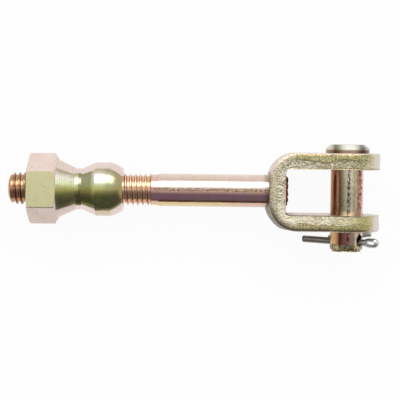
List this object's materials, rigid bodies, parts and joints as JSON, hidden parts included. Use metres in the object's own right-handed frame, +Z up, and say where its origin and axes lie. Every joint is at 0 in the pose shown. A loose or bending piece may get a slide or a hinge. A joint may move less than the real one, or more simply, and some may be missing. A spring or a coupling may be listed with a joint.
{
  "type": "clevis rod end",
  "caption": "Threaded rod with a bent-strap yoke, a headed cross pin held by a split pin, and an adjusting nut with a ball seat.",
  "frame": {"origin": "point where the clevis pin's axis crosses the rod's axis, midway between the two ears", "axes": "+X along the rod and out of the clevis mouth, +Y along the clevis pin towards its head, +Z up with the part lying on its side"},
  "size_m": [0.144, 0.0415, 0.0254],
  "materials": {
    "rod_zinc": "yellow zinc plate, pink and gold tints",
    "yoke_zinc": "yellow zinc plate over sheared edges",
    "weld_metal": "plated weld metal, red-brown",
    "nut_zinc": "yellow zinc plate over turned rings",
    "pin_zinc": "yellow zinc plate, scuffed",
    "split_pin_zinc": "clear zinc plate, grey"
  },
  "bodies": {
    "rod": {"threaded_rod": "rod_zinc", "yoke": "yoke_zinc", "weld_bead": "weld_metal"},
    "nut": {"ball_nut": "nut_zinc"},
    "pin": {"clevis_pin": "pin_zinc", "split_pin": "split_pin_zinc"}
  },
  "joints": [
    {"name": "nut_travel", "type": "slide", "parent": "rod", "child": "nut", "axis": [1, 0, 0], "range_m": [-0.00586, 0.00977]},
    {"name": "pin_turn", "type": "hinge", "parent": "rod", "child": "pin", "pos_m": [0, 0, 0], "axis": [0, 1, 0], "continuous": true}
  ]
}
